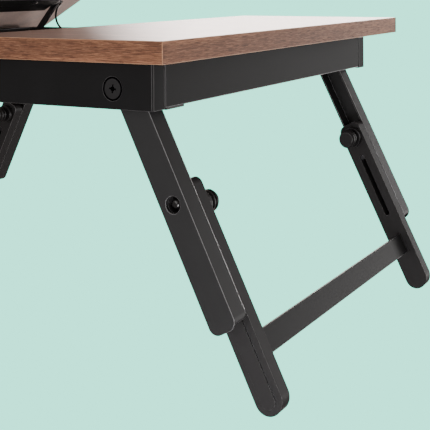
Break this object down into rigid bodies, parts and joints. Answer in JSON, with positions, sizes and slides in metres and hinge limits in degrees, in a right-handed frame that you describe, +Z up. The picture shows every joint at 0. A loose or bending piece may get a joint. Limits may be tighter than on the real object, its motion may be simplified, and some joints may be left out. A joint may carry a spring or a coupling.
{
  "type": "laptop stand",
  "caption": "Folding bed-tray laptop stand with a tilting walnut panel, a fixed side board, a shallow drawer under it and telescopic folding black metal legs.",
  "frame": {"origin": "on the floor under the middle of the splayed and extended legs", "axes": "+X along the table top towards the drawer end, +Y away from the user side, +Z up"},
  "size_m": [0.606, 0.32, 0.3876],
  "materials": {
    "walnut_board": "walnut laminate, satin",
    "walnut_panel": "walnut laminate, satin",
    "black_frame": "fine black powder coat",
    "leg_black": "fine black powder coat",
    "lower_leg_black": "fine black powder coat",
    "cross_bar_black": "fine black powder coat",
    "prop_black": "fine black powder coat",
    "brace_black": "fine black powder coat",
    "drawer_black": "fine black powder coat",
    "tray_black": "fine moulded texture",
    "black_cap": "moulded, satin",
    "knob_black": "moulded, satin",
    "bush_black": "moulded, satin",
    "pivot_screw": "black oxide, satin",
    "hinge_steel": "black, satin",
    "guide_pin": "turned",
    "pin_steel": "turned",
    "runner_steel": "black zinc",
    "spring_wire": "black oiled wire"
  },
  "bodies": {
    "base": {"fixed_board": "walnut_board", "rail_near": "black_frame", "rail_far": "black_frame", "rail_left": "black_frame", "cap_near_left": "black_cap", "cap_near_right": "black_cap", "cap_far_left": "black_cap", "cap_far_right": "black_cap", "cross_rail": "black_frame", "pivot_screws": "pivot_screw", "hinge_rail_leaf_near": "hinge_steel", "hinge_rail_leaf_far": "hinge_steel", "runner_near": "runner_steel", "runner_far": "runner_steel", "prop_rack_near": "prop_black", "prop_rack_far": "prop_black", "spring_studs": "prop_black", "bow_springs": "spring_wire"},
    "panel": {"tilt_panel": "walnut_panel", "hinge_panel_leaf_near": "hinge_steel", "hinge_panel_leaf_far": "hinge_steel", "hinge_pin_near": "pin_steel", "hinge_pin_far": "pin_steel", "panel_brace": "brace_black", "brace_end_near": "prop_black", "brace_end_far": "prop_black"},
    "prop_near": {"prop_link_near": "prop_black"},
    "prop_far": {"prop_link_far": "prop_black"},
    "drawer": {"drawer_front": "drawer_black", "drawer_tray": "tray_black", "slide_near": "runner_steel", "slide_far": "runner_steel"},
    "right_upper_legs": {"upper_leg_right_near": "leg_black", "upper_leg_right_far": "leg_black", "guide_pins_right": "guide_pin"},
    "right_lower_legs": {"lower_leg_right_near": "lower_leg_black", "lower_leg_right_far": "lower_leg_black", "cross_bar_right": "cross_bar_black", "plunger_bushes_right": "bush_black"},
    "knob_right_near": {"knob_right_near": "knob_black"},
    "knob_right_far": {"knob_right_far": "knob_black"},
    "left_upper_legs": {"upper_leg_left_near": "leg_black", "upper_leg_left_far": "leg_black", "guide_pins_left": "guide_pin"},
    "left_lower_legs": {"lower_leg_left_near": "lower_leg_black", "lower_leg_left_far": "lower_leg_black", "cross_bar_left": "cross_bar_black", "plunger_bushes_left": "bush_black"},
    "knob_left_near": {"knob_left_near": "knob_black"},
    "knob_left_far": {"knob_left_far": "knob_black"}
  },
  "joints": [
    {"name": "right_leg_fold", "type": "hinge", "parent": "base", "child": "right_upper_legs", "pos_m": [0.186, 0, 0.21634], "axis": [0, 1, 0], "range_deg": [0, 117.3]},
    {"name": "right_leg_length", "type": "slide", "parent": "right_upper_legs", "child": "right_lower_legs", "axis": [-0.4587, 0, 0.8886], "range_m": [0, 0.057]},
    {"name": "pull_right_near", "type": "slide", "parent": "right_lower_legs", "child": "knob_right_near", "axis": [0, 1, 0], "range_m": [0, 0.004], "stiffness_N_per_m": 600, "springref_m": -0.002},
    {"name": "pull_right_far", "type": "slide", "parent": "right_lower_legs", "child": "knob_right_far", "axis": [0, -1, 0], "range_m": [0, 0.004], "stiffness_N_per_m": 600, "springref_m": -0.002},
    {"name": "left_leg_fold", "type": "hinge", "parent": "base", "child": "left_upper_legs", "pos_m": [-0.186, 0, 0.21634], "axis": [0, -1, 0], "range_deg": [0, 117.3]},
    {"name": "left_leg_length", "type": "slide", "parent": "left_upper_legs", "child": "left_lower_legs", "axis": [0.4587, 0, 0.8886], "range_m": [0, 0.057]},
    {"name": "pull_left_near", "type": "slide", "parent": "left_lower_legs", "child": "knob_left_near", "axis": [0, 1, 0], "range_m": [0, 0.004], "stiffness_N_per_m": 600, "springref_m": -0.002},
    {"name": "pull_left_far", "type": "slide", "parent": "left_lower_legs", "child": "knob_left_far", "axis": [0, -1, 0], "range_m": [0, 0.004], "stiffness_N_per_m": 600, "springref_m": -0.002},
    {"name": "drawer_slide", "type": "slide", "parent": "base", "child": "drawer", "axis": [1, 0, 0], "range_m": [0, 0.11]},
    {"name": "panel_tilt", "type": "hinge", "parent": "base", "child": "panel", "pos_m": [-0.2245, 0, 0.23334], "axis": [0, -1, 0], "range_deg": [-29, 5], "deforming": ["bow_springs"]},
    {"name": "prop_swing_near", "type": "hinge", "parent": "panel", "child": "prop_near", "pos_m": [-0.16279, 0, 0.2664], "axis": [0, -1, 0], "range_deg": [-22, 5]},
    {"name": "prop_swing_far", "type": "hinge", "parent": "panel", "child": "prop_far", "pos_m": [-0.16279, 0, 0.2664], "axis": [0, -1, 0], "range_deg": [-22, 5]}
  ],
  "couplings": [
    {"joint": "prop_swing_near", "follows": "panel_tilt", "ratio": 0.72465},
    {"joint": "prop_swing_far", "follows": "panel_tilt", "ratio": 0.72465}
  ]
}
